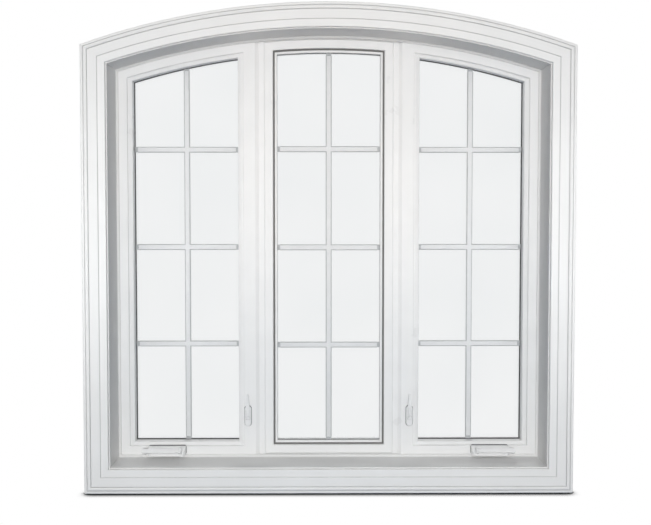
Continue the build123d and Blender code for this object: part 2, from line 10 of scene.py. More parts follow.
import bpy
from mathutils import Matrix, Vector


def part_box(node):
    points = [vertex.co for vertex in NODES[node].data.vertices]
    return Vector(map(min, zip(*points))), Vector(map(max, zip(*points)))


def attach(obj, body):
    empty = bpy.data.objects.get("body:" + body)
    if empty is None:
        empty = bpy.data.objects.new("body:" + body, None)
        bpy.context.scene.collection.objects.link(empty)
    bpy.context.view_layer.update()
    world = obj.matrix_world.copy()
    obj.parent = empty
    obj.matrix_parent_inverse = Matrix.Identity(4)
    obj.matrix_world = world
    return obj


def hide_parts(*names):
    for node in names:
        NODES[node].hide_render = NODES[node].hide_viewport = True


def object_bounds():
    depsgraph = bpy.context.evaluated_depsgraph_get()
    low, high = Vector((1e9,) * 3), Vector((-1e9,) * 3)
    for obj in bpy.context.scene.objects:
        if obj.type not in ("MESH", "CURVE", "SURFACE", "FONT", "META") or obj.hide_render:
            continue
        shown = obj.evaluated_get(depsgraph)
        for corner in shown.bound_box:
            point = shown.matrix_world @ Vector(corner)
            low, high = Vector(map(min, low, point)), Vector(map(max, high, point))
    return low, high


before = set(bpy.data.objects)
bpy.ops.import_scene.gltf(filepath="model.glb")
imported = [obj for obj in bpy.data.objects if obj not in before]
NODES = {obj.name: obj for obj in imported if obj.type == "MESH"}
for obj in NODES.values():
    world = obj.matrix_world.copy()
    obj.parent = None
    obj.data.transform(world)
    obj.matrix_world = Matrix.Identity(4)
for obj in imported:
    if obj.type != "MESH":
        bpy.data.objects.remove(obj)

CAD_LOW, CAD_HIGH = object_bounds()
print("window box:", [round(side, 3) for side in CAD_HIGH - CAD_LOW], "m")

# %% [markdown]
# Everything added later has to sit on what is already there, so the few places that matter are measured
# from the solids: the arch they share, the faces of the frames, and the heights of the bars. Measuring
# beats typing numbers in, because the dressing then follows the window if its sizes change.

# %% Measure the window
MM = 0.001
FLOOR_Z = CAD_LOW.z

crown_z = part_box("head_extension")[1].z
spring_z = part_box("left_extension")[1].z
frame_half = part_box("head_extension")[1].x
arch_rise = crown_z - spring_z
ARCH_RADIUS = (frame_half**2 + arch_rise**2) / (2 * arch_rise)
ARCH_CENTRE_Z = crown_z - ARCH_RADIUS
FRAME_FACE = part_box("left_frame_sill")[0].y
print("arch radius", round(ARCH_RADIUS, 3), "about height", round(ARCH_CENTRE_Z, 3))

# %% [markdown]
# A few short helpers stand for what the hands do over and over: clear the selection, pick faces or edges
# by where they are, and finish a piece so that its place is in its mesh. Operators act on all that is
# selected, and loading leaves the solids selected, so clearing comes first every time.


# %% Helpers for modelling by hand
def clear_selection():
    if bpy.context.mode != "OBJECT":
        bpy.ops.object.mode_set(mode="OBJECT")
    bpy.ops.object.select_all(action="DESELECT")


def start_block(name, centre, size):
    """A box of the given size, as a start to be shaped."""
    clear_selection()
    bpy.ops.mesh.primitive_cube_add(size=1, location=centre, scale=size)
    block = bpy.context.object
    block.name = name
    bpy.ops.object.transform_apply(location=True, rotation=True, scale=True)
    return block


def pick(piece, kind, test):
    """Opens edit mode with only the faces, edges or points that pass the test selected."""
    clear_selection()
    piece.select_set(True)
    bpy.context.view_layer.objects.active = piece
    bpy.ops.object.mode_set(mode="EDIT")
    bpy.ops.mesh.select_mode(type=kind)
    bpy.ops.mesh.select_all(action="DESELECT")
    bpy.ops.object.mode_set(mode="OBJECT")
    found = {"FACE": piece.data.polygons, "EDGE": piece.data.edges, "VERT": piece.data.vertices}
    for item in found[kind]:
        item.select = test(item)
    bpy.ops.object.mode_set(mode="EDIT")


def edge_direction(piece, edge):
    first, second = (piece.data.vertices[index].co for index in edge.vertices)
    return (second - first).normalized()


def join(name, pieces):
    clear_selection()
    for piece in pieces:
        piece.select_set(True)
    bpy.context.view_layer.objects.active = pieces[0]
    bpy.ops.object.join()
    pieces[0].name = name
    return pieces[0]


def soften(piece, degrees=35):
    clear_selection()
    piece.select_set(True)
    bpy.context.view_layer.objects.active = piece
    bpy.ops.object.shade_smooth_by_angle(angle=math.radians(degrees))


# %% [markdown]
# The camera stands in the room a little left of the middle, about at chest height, and looks down
# slightly. The upright edges lean in very little in the photograph, so most of the framing is a small
# drop of the lens, which keeps them upright as a view camera does.

# %% Camera
PHOTO_WIDTH = 651
FOCAL_PIXELS = 681
LENS_DROP_PIXELS = 30.6
CAMERA_PLACE = (-0.027, -2.682, 0.980)
LOOK_DOWN = math.radians(1.765)
LOOK_RIGHT = math.radians(0.315)

clear_selection()
bpy.ops.object.camera_add(location=CAMERA_PLACE, rotation=(math.pi / 2 - LOOK_DOWN, 0, -LOOK_RIGHT))
camera = bpy.context.object
camera.data.sensor_width = 36
camera.data.lens = camera.data.sensor_width * FOCAL_PIXELS / PHOTO_WIDTH
camera.data.shift_y = -LENS_DROP_PIXELS / PHOTO_WIDTH
bpy.context.scene.camera = camera
print("lens", round(camera.data.lens, 1), "mm")

# %% [markdown]
# Studio light for white joinery has to be soft and come from the room, or the mouldings glare and the
# deep boards go flat. A large panel far behind the camera gives the even part. The air on the room's side
# glows as well: that light comes from everywhere, so each groove and recess shuts some of it out and
# draws its own fine line. Small panels lift the side casings, a cool one hangs above the sill, and a warm
# one stands low for the head. One more stands outdoors, for whoever walks round the window. All are kept
# out of reflections, because the glass would mirror them.


# %% Lights
def light_panel(name, place, target, size, watts, colour, spread):
    """A square lamp that faces its target; the spread of its light is in degrees."""
    clear_selection()
    bpy.ops.object.light_add(type="AREA", location=place)
    panel = bpy.context.object
    panel.name = name
    panel.data.size = size
    panel.data.energy = watts
    panel.data.color = colour
    panel.data.spread = math.radians(spread)
    panel.rotation_euler = (Vector(target) - Vector(place)).to_track_quat("-Z", "Y").to_euler()
    panel.visible_camera = False
    panel.visible_glossy = False
    panel.visible_transmission = False


WHITE = (1.0, 0.995, 0.985)
WARM = (1.0, 0.80, 0.62)
COOL = (0.80, 0.91, 1.0)
WIDE = 180
WINDOW_MIDDLE = (0, 0, 0.8)
for side, sign in (("left", -1), ("right", 1)):
    casing = (sign * CAD_HIGH.x, CAD_LOW.y, 0.85)
    light_panel(f"{side}_panel", (sign * 1.7, -1.35, 1.0), casing, 0.6, 0.47, WHITE, spread=60)
    jamb = (sign * 0.85, 0, 0.85)
    light_panel(f"{side}_front_panel", (sign * 0.95, -3.0, 0.9), jamb, 0.6, 0.44, WHITE, spread=36)
light_panel("far_panel", (0, -7.0, 1.6), WINDOW_MIDDLE, 2.0, 252, WHITE, spread=WIDE)
light_panel("top_panel", (0, -2.4, 3.0), (0, -0.08, 0), 1.0, 0.8, COOL, spread=44)
light_panel("outdoor_panel", (0, 3.5, 2.0), WINDOW_MIDDLE, 2.0, 90, WHITE, spread=WIDE)
light_panel("low_panel", (0, -1.5, 0.25), (0, -0.1, 1.6), 0.7, 0.97, WARM, spread=70)
SKY_COLOUR = (1.0, 0.99, 0.975, 1)
SKY_ROOM_SIDE = 0.41
SKY_OUTDOORS = 0.0

# %% [markdown]
# The background is plain white. A world that is white only where the camera, a reflection or the glass
# looks at it keeps that white without pouring more light on the window. The floor does the same, and
# darkens only where the window's foot shuts the light out, which leaves the thin contact shadow. Panes
# take a little of the light, so the white is slightly dimmer where it is seen through the glass.


# %% White backdrop and floor
LOSS_IN_GLASS = 0.078


def seen_directly(nodes, links):
    """1 where the camera sees the surface, straight or by gloss and glass alone, else 0; and how bright."""
    path = nodes.new("ShaderNodeLightPath")

    def combine(operation, first, second):
        node = nodes.new("ShaderNodeMath")
        node.operation = operation
        links.new(first, node.inputs[0])
        if isinstance(second, float):
            node.inputs[1].default_value = second
        else:
            links.new(second, node.inputs[1])
        return node.outputs[0]

    seen = combine("MAXIMUM", path.outputs["Is Camera Ray"], path.outputs["Is Glossy Ray"])
    seen = combine("MAXIMUM", seen, path.outputs["Is Transmission Ray"])
    no_matt_bounce = combine("LESS_THAN", path.outputs["Diffuse Depth"], 0.5)
    loss = combine("MULTIPLY", path.outputs["Is Transmission Ray"], -LOSS_IN_GLASS)
    return combine("MULTIPLY", seen, no_matt_bounce), combine("ADD", loss, 1.0)


world = bpy.data.worlds.new("white_studio")
bpy.context.scene.world = world
world.use_nodes = True
nodes, links = world.node_tree.nodes, world.node_tree.links
nodes.clear()
sky = nodes.new("ShaderNodeBackground")
sky.inputs["Color"].default_value = SKY_COLOUR
direction = nodes.new("ShaderNodeSeparateXYZ")
links.new(nodes.new("ShaderNodeTexCoord").outputs["Generated"], direction.inputs[0])
grade = nodes.new("ShaderNodeMapRange")
grade.inputs["From Min"].default_value = -1
grade.inputs["To Min"].default_value = SKY_ROOM_SIDE
grade.inputs["To Max"].default_value = SKY_OUTDOORS
links.new(direction.outputs["Y"], grade.inputs["Value"])
links.new(grade.outputs[0], sky.inputs["Strength"])
white = nodes.new("ShaderNodeBackground")
white.inputs["Color"].default_value = (1, 1, 1, 1)
either = nodes.new("ShaderNodeMixShader")
seen, brightness = seen_directly(nodes, links)
links.new(brightness, white.inputs["Strength"])
links.new(seen, either.inputs["Fac"])
links.new(sky.outputs[0], either.inputs[1])
links.new(white.outputs[0], either.inputs[2])
links.new(either.outputs[0], nodes.new("ShaderNodeOutputWorld").inputs["Surface"])

FLOOR_SIZE = 14
SHADOW_REACH = 0.045
clear_selection()
bpy.ops.mesh.primitive_plane_add(size=FLOOR_SIZE, location=(0, 0, FLOOR_Z))
floor = bpy.context.object
floor.name = "studio_floor"

floor_paint = bpy.data.materials.new("studio_floor_white")
floor_paint.use_nodes = True
nodes, links = floor_paint.node_tree.nodes, floor_paint.node_tree.links
nodes.clear()
shut_out = nodes.new("ShaderNodeAmbientOcclusion")
shut_out.inputs["Distance"].default_value = SHADOW_REACH
fade = nodes.new("ShaderNodeValToRGB")
fade.color_ramp.interpolation = "EASE"
fade.color_ramp.elements[0].position = 0.55
fade.color_ramp.elements[0].color = (0.01, 0.01, 0.011, 1)
fade.color_ramp.elements[1].position = 0.95
fade.color_ramp.elements[1].color = (1, 1, 1, 1)
links.new(shut_out.outputs["AO"], fade.inputs["Fac"])
glow = nodes.new("ShaderNodeEmission")
links.new(fade.outputs["Color"], glow.inputs["Color"])
matt = nodes.new("ShaderNodeBsdfDiffuse")
matt.inputs["Color"].default_value = (0.21, 0.28, 0.37, 1)
either = nodes.new("ShaderNodeMixShader")
seen, brightness = seen_directly(nodes, links)
links.new(brightness, glow.inputs["Strength"])
links.new(seen, either.inputs["Fac"])
links.new(matt.outputs[0], either.inputs[1])
links.new(glow.outputs[0], either.inputs[2])
links.new(either.outputs[0], nodes.new("ShaderNodeOutputMaterial").inputs["Surface"])
floor.data.materials.append(floor_paint)
bpy.context.scene.view_settings.view_transform = "Standard"
print("floor at height", round(FLOOR_Z, 3))

# %% [markdown]
# Each finish is a small tree of nodes round one Principled shader. Coordinates are the window's own, in
# metres, so a pattern keeps its real scale. Streaks have to run along each member, so the coordinates are
# first turned into along and across: height on an upright, width on a level piece, and angle times radius
# on an arched head.


# %% Helpers for finishes
class Finish:
    """A material with a Principled shader and short ways to add the nodes that feed it."""

    def __init__(self, name):
        self.material = bpy.data.materials.new(name)
        self.material.use_nodes = True
        self.nodes = self.material.node_tree.nodes
        self.links = self.material.node_tree.links
        self.shader = self.nodes["Principled BSDF"]
        self.place = self.nodes.new("ShaderNodeTexCoord").outputs["Object"]

    def set(self, **values):
        for socket, value in values.items():
            self.shader.inputs[socket.replace("_", " ")].default_value = value

    def math(self, operation, first, second):
        node = self.nodes.new("ShaderNodeMath")
        node.operation = operation
        for value, socket in zip((first, second), node.inputs):
            if isinstance(value, (int, float)):
                socket.default_value = value
            else:
                self.links.new(value, socket)
        return node.outputs[0]

    def stretched(self, run, along, across):
        """Coordinates scaled along and across the way a member runs: x, z or arch."""
        split = self.nodes.new("ShaderNodeSeparateXYZ")
        self.links.new(self.place, split.inputs[0])
        x, y, z = split.outputs
        if run == "arch":
            height = self.math("SUBTRACT", z, ARCH_CENTRE_Z)
            angle = self.math("ARCTAN2", x, height)
            flat = self.math("MULTIPLY", x, x)
            radius = self.math("SQRT", self.math("ADD", flat, self.math("MULTIPLY", height, height)), 0)
            lengths = (self.math("MULTIPLY", angle, ARCH_RADIUS * along), radius)
        else:
            lengths = (self.math("MULTIPLY", x if run == "x" else z, along), z if run == "x" else x)
        gather = self.nodes.new("ShaderNodeCombineXYZ")
        self.links.new(lengths[0], gather.inputs[0])
        self.links.new(self.math("MULTIPLY", lengths[1], across), gather.inputs[1])
        self.links.new(self.math("MULTIPLY", y, across), gather.inputs[2])
        return gather.outputs[0]

    def from_edge(self, run, edge):
        """How far a point lies from a member's outer edge: a half width, a foot height or an arch radius."""
        split = self.nodes.new("ShaderNodeSeparateXYZ")
        self.links.new(self.place, split.inputs[0])
        x, y, z = split.outputs
        if run == "x":
            return self.math("SUBTRACT", z, edge)
        if run == "z":
            return self.math("SUBTRACT", edge, self.math("ABSOLUTE", x, 0))
        height = self.math("SUBTRACT", z, ARCH_CENTRE_Z)
        square = self.math("ADD", self.math("MULTIPLY", x, x), self.math("MULTIPLY", height, height))
        return self.math("SUBTRACT", edge, self.math("SQRT", square, 0))

    def lines(self, distance, places, half_width, dark):
        """1 everywhere but on narrow lines at the given distances, where it falls to dark."""
        factor = 1.0
        for place in places:
            off = self.math("ABSOLUTE", self.math("SUBTRACT", distance, place), 0)
            near = self.math("MINIMUM", self.math("DIVIDE", off, half_width), 1.0)
            line = self.math("MULTIPLY_ADD", near, 1 - dark)
            line.node.inputs[2].default_value = dark
            factor = self.math("MULTIPLY", factor, line)
        return factor

    def scaled(self, colour, factor):
        node = self.nodes.new("ShaderNodeVectorMath")
        node.operation = "SCALE"
        self.links.new(colour, node.inputs[0])
        self.links.new(factor, node.inputs["Scale"])
        return node.outputs[0]

    def noise(self, scale, detail=3, place=None):
        node = self.nodes.new("ShaderNodeTexNoise")
        node.inputs["Scale"].default_value = scale
        node.inputs["Detail"].default_value = detail
        self.links.new(place or self.place, node.inputs["Vector"])
        return node.outputs["Fac"]

    def ramp(self, value, low, high, start=0.3, end=0.7):
        """A colour or a grey that runs from low to high as the value does from start to end."""
        node = self.nodes.new("ShaderNodeValToRGB")
        for stop, place, colour in zip(node.color_ramp.elements, (start, end), (low, high)):
            stop.position = place
            stop.color = (colour,) * 3 + (1,) if isinstance(colour, (int, float)) else (*colour, 1)
        self.links.new(value, node.inputs["Fac"])
        return node.outputs["Color"]

    def bump(self, heights, distance):
        node = self.nodes.new("ShaderNodeBump")
        node.inputs["Distance"].default_value = distance
        self.links.new(heights, node.inputs["Height"])
        self.links.new(node.outputs["Normal"], self.shader.inputs["Normal"])

    def feed(self, socket, value):
        self.links.new(value, self.shader.inputs[socket])


print("finish helpers ready")

# %% [markdown]
# The casing and the jamb boards are primed wood under white satin paint. A brush leaves fine streaks
# along the board and a faint unevenness in the film, so the paint gets both: long thin noise for the
# streaks, a broad one for tone and for the gloss. The streaks are shallow, a few hundredths of a
# millimetre. On the casing the paint is darkened along three narrow lines in the grooves of the moulding,
# measured in from its outer edge: painted shade, where the grooves are in shadow.


# %% Satin paint on wood
GROOVES = (11 * MM, 25.5 * MM, 61.5 * MM)
GROOVE_HALF = 2.2 * MM


def satin_paint(name, run, pale, outer_edge=None):
    paint = Finish(f"{name}_{run}")
    streaks = paint.noise(1.0, 4, paint.stretched(run, 6, 420))
    broad = paint.noise(5.0, 2)
    tone = paint.math("ADD", paint.math("MULTIPLY", streaks, 0.35), paint.math("MULTIPLY", broad, 0.65))
    low = (pale - 0.025, pale - 0.027, pale - 0.033)
    high = (pale + 0.025, pale + 0.023, pale + 0.018)
    colour = paint.ramp(tone, low, high)
    if outer_edge is not None:
        # painted shade: the paint darkens along the three grooves of the casing
        groove_shade = paint.lines(paint.from_edge(run, outer_edge), GROOVES, GROOVE_HALF, 0.72)
        colour = paint.scaled(colour, groove_shade)
    paint.feed("Base Color", colour)
    paint.feed("Roughness", paint.ramp(broad, 0.36, 0.46))
    paint.bump(streaks, 0.04 * MM)
    return paint.material


RUNS = {"head": "arch", "bottom": "x", "sill": "x", "left": "z", "right": "z"}
CASING_EDGES = {"x": CAD_LOW.z, "z": CAD_HIGH.x, "arch": CAD_HIGH.z - ARCH_CENTRE_Z}
finish_coat = {run: satin_paint("satin_paint", run, 0.89, edge) for run, edge in CASING_EDGES.items()}
# painted shade: the jamb boards get the same paint much greyer than the casing (0.77 against 0.89), which
# darkens the deep returns
board_shaded_coat = {run: satin_paint("board_paint_shaded", run, 0.77) for run in ("x", "z", "arch")}
for side in ("head", "left", "right", "bottom"):
    NODES[f"{side}_casing"].data.materials[0] = finish_coat[RUNS[side]]
for side in ("head", "left", "right", "sill"):
    NODES[f"{side}_extension"].data.materials[0] = board_shaded_coat[RUNS[side]]
print("painted:", [name for name in NODES if "casing" in name or "extension" in name])

# %% [markdown]
# Frames and sashes are white vinyl, pushed through a die. That leaves a smooth satin skin with the
# faintest lines along each length, and no streaks across. A welded corner is cleaned by hand, so the
# lines change way at the mitre.


# %% White vinyl
def white_vinyl(run):
    vinyl = Finish(f"white_vinyl_{run}")
    die_lines = vinyl.noise(1.0, 2, vinyl.stretched(run, 0.6, 900))
    cloud = vinyl.noise(9.0, 3)
    tone = vinyl.math("ADD", vinyl.math("MULTIPLY", die_lines, 0.3), vinyl.math("MULTIPLY", cloud, 0.7))
    vinyl.feed("Base Color", vinyl.ramp(tone, (0.85, 0.852, 0.85), (0.90, 0.90, 0.897)))
    vinyl.feed("Roughness", vinyl.ramp(cloud, 0.27, 0.35))
    vinyl.bump(die_lines, 0.015 * MM)
    return vinyl.material


vinyls = {run: white_vinyl(run) for run in ("x", "z", "arch")}
for name, node in NODES.items():
    if "frame" in name or "sash" in name:
        level = name.endswith(("sill", "bottom_rail"))
        arched = name.endswith(("head", "top_rail"))
        node.data.materials[0] = vinyls["arch" if arched else "x" if level else "z"]
NODES["centre_glazing_beads"].data.materials[0] = vinyls["z"]
print("vinyl pieces:", sum("frame" in name or "sash" in name for name in NODES) + 1)

# %% [markdown]
# The sealed units are clear float glass with a breath of grey in it, and a black spacer bar keeps the
# panes apart. The glass is a real pair of panes, so it needs only full transmission, a very low roughness
# and a tint. Lamp light and soft light on their way to the bars go straight through, because the renderer
# loses light that it has to bend there, and the bars would turn dark. The spacer is foam with a fine matt
# grain.

# %% Glass and spacers
glass = Finish("float_glass")
glass.set(Transmission_Weight=1.0, IOR=1.45)
ripple = glass.noise(2.5, 1)
glass.feed("Base Color", glass.ramp(ripple, (0.96, 0.968, 0.971), (0.975, 0.98, 0.982)))
glass.feed("Roughness", glass.ramp(ripple, 0.0, 0.012))
clear = glass.nodes.new("ShaderNodeBsdfTransparent")
clear.inputs["Color"].default_value = (0.995, 0.998, 1, 1)
lamp_light = glass.nodes.new("ShaderNodeMixShader")
path = glass.nodes.new("ShaderNodeLightPath")
soft_light = glass.math("MAXIMUM", path.outputs["Is Shadow Ray"], path.outputs["Is Diffuse Ray"])
glass.links.new(soft_light, lamp_light.inputs["Fac"])
glass.links.new(glass.shader.outputs[0], lamp_light.inputs[1])
glass.links.new(clear.outputs[0], lamp_light.inputs[2])
glass.links.new(lamp_light.outputs[0], glass.nodes["Material Output"].inputs["Surface"])
for side in ("left", "centre", "right"):
    NODES[f"{side}_glass"].data.materials[0] = glass.material

spacer = Finish("black_spacer_foam")
grain = spacer.noise(900, 2)
spacer.feed("Base Color", spacer.ramp(grain, (0.012, 0.012, 0.013), (0.03, 0.031, 0.033)))
spacer.feed("Roughness", spacer.ramp(grain, 0.6, 0.8))
spacer.bump(grain, 0.1 * MM)
NODES["glass_spacers"].data.materials[0] = spacer.material
print("glass and spacers finished")

# %% [markdown]
# Locks and cranks are die-cast zinc under baked white enamel. Enamel flows before it sets, which leaves
# the soft dimpling known as orange peel: a fine noise with a little depth, and a clearer gloss than the
# vinyl beside it.

# %% White enamel on the hardware
enamel = Finish("white_enamel")
peel = enamel.noise(420, 1)
enamel.feed("Base Color", enamel.ramp(enamel.noise(30, 2), (0.84, 0.843, 0.845), (0.865, 0.868, 0.87)))
enamel.feed("Roughness", enamel.ramp(peel, 0.24, 0.28))
enamel.bump(peel, 0.004 * MM)
for name, node in NODES.items():
    if name.endswith(("lock_plate", "lock_lever", "operator_cover", "crank_handle")):
        node.data.materials[0] = enamel.material
print("enamelled hardware")

# %% [markdown]
# The bars lie between the panes: roll-formed aluminium with a raised flat and steep shoulders, which draw
# the fine dark line along each edge. Where two bars cross, their flats run into each other and the
# shoulders meet in a mitre. Crossing solid bars would leave doubled faces there. One sheet cut along all
# the edges, with what lies outside the bars taken away and the flats lifted, gives those mitres by
# itself. Mirrored, it closes to a solid. The steep shoulders are coloured a much darker grey than the
# flats: painted shade, which deepens the dark line along each edge.

# %% Measure the bars
BAR_WIDTH = 23 * MM
BAR_FLAT = 16 * MM
BAR_EDGE = 1.5 * MM
BAR_ROUND = 0.5 * MM
CLIP_LENGTH = 11 * MM


def bar_levels(node):
    """The heights of the level bars, read where their ends meet the solid's left side."""
    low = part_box(node)[0]
    ends = sorted(vertex.co.z for vertex in NODES[node].data.vertices if vertex.co.x - low.x < MM)
    groups = [[ends[0]]]
    for height in ends[1:]:
        if height - groups[-1][-1] > BAR_WIDTH:
            groups.append([])
        groups[-1].append(height)
    return [(group[0] + group[-1]) / 2 for group in groups]


print("level bars at", [round(height, 3) for height in bar_levels("left_grille")])


# %% Shape the bars of one light
def cut_sheet(sheet, place, normal):
    pick(sheet, "FACE", lambda face: True)
    bpy.ops.mesh.bisect(plane_co=place, plane_no=normal)


def bars_sheet(name, low, high, levels):
    """The front half of a light's bars, about the middle of their thickness."""
    middle = (low + high) / 2
    clear_selection()
    bpy.ops.mesh.primitive_plane_add(size=1, location=middle, rotation=(math.pi / 2, 0, 0))
    sheet = bpy.context.object
    sheet.name = name
    sheet.scale = (high.x - low.x, high.z - low.z, 1)
    bpy.ops.object.transform_apply(location=False, rotation=True, scale=True)
    for half in (BAR_FLAT / 2, BAR_WIDTH / 2):
        for offset in (-half, half):
            cut_sheet(sheet, (middle.x + offset, 0, 0), (1, 0, 0))
            for level in levels:
                cut_sheet(sheet, (0, 0, level + offset), (0, 0, 1))

    def across(face, width):
        """How a face lies within that width of the bars: 0 outside, 1 on one bar, 2 where two cross."""
        on_upright = abs(face.center.x) < width / 2
        on_level = any(abs(face.center.z + middle.z - level) < width / 2 for level in levels)
        return on_upright + on_level

    pick(sheet, "FACE", lambda face: across(face, BAR_WIDTH) == 0)
    bpy.ops.mesh.delete(type="FACE")
    thickness = high.y - low.y
    pick(sheet, "FACE", lambda face: True)
    bpy.ops.transform.translate(value=(0, -BAR_EDGE / 2, 0))
    pick(sheet, "FACE", lambda face: across(face, BAR_FLAT) > 0)
    bpy.ops.transform.translate(value=(0, -(thickness - BAR_EDGE) / 2, 0))
    pick(sheet, "FACE", lambda face: across(face, BAR_WIDTH) == 2 and across(face, BAR_FLAT) == 0)
    bpy.ops.mesh.quads_convert_to_tris(quad_method="LONGEST_DIAGONAL")
    return sheet


def apply_modifier(piece, kind, **settings):
    clear_selection()
    piece.select_set(True)
    bpy.context.view_layer.objects.active = piece
    bpy.ops.object.modifier_add(type=kind)
    modifier = piece.modifiers[-1]
    for setting, value in settings.items():
        setattr(modifier, setting, value)
    bpy.ops.object.modifier_apply(modifier=modifier.name)


def close_bars(sheet):
    """Folds the sheet's rim back to the middle of the bars, mirrors it and rounds its arrises."""
    pick(sheet, "EDGE", lambda edge: False)
    bpy.ops.mesh.select_non_manifold(
        use_wire=False, use_multi_face=False, use_non_contiguous=False, use_verts=False
    )
    bpy.ops.mesh.extrude_edges_move()
    bpy.ops.transform.resize(value=(1, 0, 1), center_override=sheet.location)
    apply_modifier(sheet, "MIRROR", use_axis=(False, True, False), merge_threshold=0.01 * MM)
    pick(sheet, "FACE", lambda face: True)
    bpy.ops.mesh.remove_doubles(threshold=0.01 * MM)
    bpy.ops.mesh.normals_make_consistent(inside=False)
    bpy.ops.object.mode_set(mode="OBJECT")
    bpy.ops.object.transform_apply(location=True, rotation=True, scale=True)
    sharp = math.radians(30)
    apply_modifier(sheet, "BEVEL", width=BAR_ROUND, segments=2, limit_method="ANGLE", angle_limit=sharp)
    soften(sheet)


def bar_coat(name, dark, pale, smooth, rough):
    coat = Finish(name)
    tone = coat.noise(40, 3)
    coat.feed("Base Color", coat.ramp(tone, dark, pale))
    coat.feed("Roughness", coat.ramp(tone, smooth, rough))
    return coat.material


FLAT_FACING = 0.95
flat_enamel = bar_coat("white_bar_enamel", (0.79, 0.792, 0.795), (0.82, 0.82, 0.822), 0.35, 0.45)
# painted shade: the steep shoulders of the bars get a much darker grey than the flats
shoulder_painted_shade = bar_coat("bar_shoulder_painted_shade", (0.5, 0.503, 0.507), (0.54, 0.541, 0.544), 0.4, 0.5)

for side in ("left", "centre", "right"):
    low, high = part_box(f"{side}_grille")
    clip = Vector((CLIP_LENGTH, 0, CLIP_LENGTH))
    bars = bars_sheet(f"{side}_bars", low + clip, high - clip, bar_levels(f"{side}_grille"))
    close_bars(bars)
    bars.data.materials.clear()
    bars.data.materials.append(flat_enamel)
    bars.data.materials.append(shoulder_painted_shade)
    pick(bars, "FACE", lambda face: abs(face.normal.y) < FLAT_FACING)
    bars.active_material_index = 1
    bpy.ops.object.material_slot_assign()
    bpy.ops.object.mode_set(mode="OBJECT")
    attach(bars, "window")
    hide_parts(f"{side}_grille")
    print(bars.name, len(bars.data.polygons), "faces")

# %% [markdown]
# Each bar stops short of the glass edge, on a grey plastic clip that is pinned to the spacer. The clip is
# a block as wide as the bar, with a stepped tongue that goes into the bar's hollow end, so a fine dark
# joint shows between them. It is shaped once, with an inset and an extrusion for the tongue, and copied
# to every end.

# %% Clips at the bars' ends
CLIP_JOINT = 1.2 * MM
CLIP_THICKNESS = 6 * MM
CLIP_TONGUE = 6 * MM


def end_clip():
    """One clip, its foot at the origin and its tongue towards +X."""
    length = CLIP_LENGTH - CLIP_JOINT
    clip = start_block("end_clip", (length / 2, 0, 0), (length, CLIP_THICKNESS, BAR_WIDTH - 2 * MM))
    pick(clip, "FACE", lambda face: face.normal.x > 0.9)
    bpy.ops.mesh.inset(thickness=1.4 * MM)
    bpy.ops.mesh.extrude_region_move(TRANSFORM_OT_translate={"value": (CLIP_TONGUE, 0, 0)})
    bpy.ops.transform.resize(value=(1, 0.9, 0.9))
    pick(clip, "EDGE", lambda edge: abs(edge_direction(clip, edge).x) > 0.9)
    bpy.ops.mesh.bevel(offset=0.6 * MM, segments=2)
    bpy.ops.object.mode_set(mode="OBJECT")
    soften(clip)
    return clip


def placed_copy(piece, place, turn):
    """A copy with its own mesh, turned about Y and set down."""
    clear_selection()
    piece.select_set(True)
    bpy.context.view_layer.objects.active = piece
    bpy.ops.object.duplicate(linked=False)
    copy = bpy.context.object
    copy.rotation_euler = (0, turn, 0)
    copy.location = place
    bpy.ops.object.transform_apply(location=True, rotation=True, scale=True)
    return copy


clip_plastic = Finish("grey_clip_plastic")
clip_grain = clip_plastic.noise(260, 2)
clip_plastic.feed("Base Color", clip_plastic.ramp(clip_grain, (0.46, 0.47, 0.48), (0.54, 0.55, 0.56)))
clip_plastic.feed("Roughness", clip_plastic.ramp(clip_grain, 0.4, 0.55))

pattern = end_clip()
for side in ("left", "centre", "right"):
    low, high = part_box(f"{side}_grille")
    middle = (low + high) / 2
    feet = [
        (Vector((middle.x, middle.y, low.z)), -math.pi / 2),
        (Vector((middle.x, middle.y, high.z)), math.pi / 2),
    ]
    for level in bar_levels(f"{side}_grille"):
        feet.append((Vector((low.x, middle.y, level)), 0))
        feet.append((Vector((high.x, middle.y, level)), math.pi))
    clips = join(f"{side}_bar_clips", [placed_copy(pattern, place, turn) for place, turn in feet])
    clips.data.materials.clear()
    clips.data.materials.append(clip_plastic.material)
    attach(clips, "window")
    print(clips.name, len(feet), "clips")
bpy.data.objects.remove(pattern)

# %% [markdown]
# The glazing bead of the fixed light snaps in beside the frame and leaves a narrow groove. A dark grey
# strip lies at the bottom of it as painted shade, to darken the groove. The strip is one ring bent round
# the light, so it starts as a wire: three sides of a plane, and an arc spun about the centre of the arch.
# Filled, inset and extruded, that wire is a flat ring with square edges.


# %% Painted shade strip in the groove of the fixed light
ARC_STEPS = 24
GROOVE_FROM_BEAD = 9.7 * MM
GROOVE_WIDTH = 6.1 * MM
BEAD_BASE = 3 * MM
SHADE_STRIP_THICKNESS = 1.5 * MM


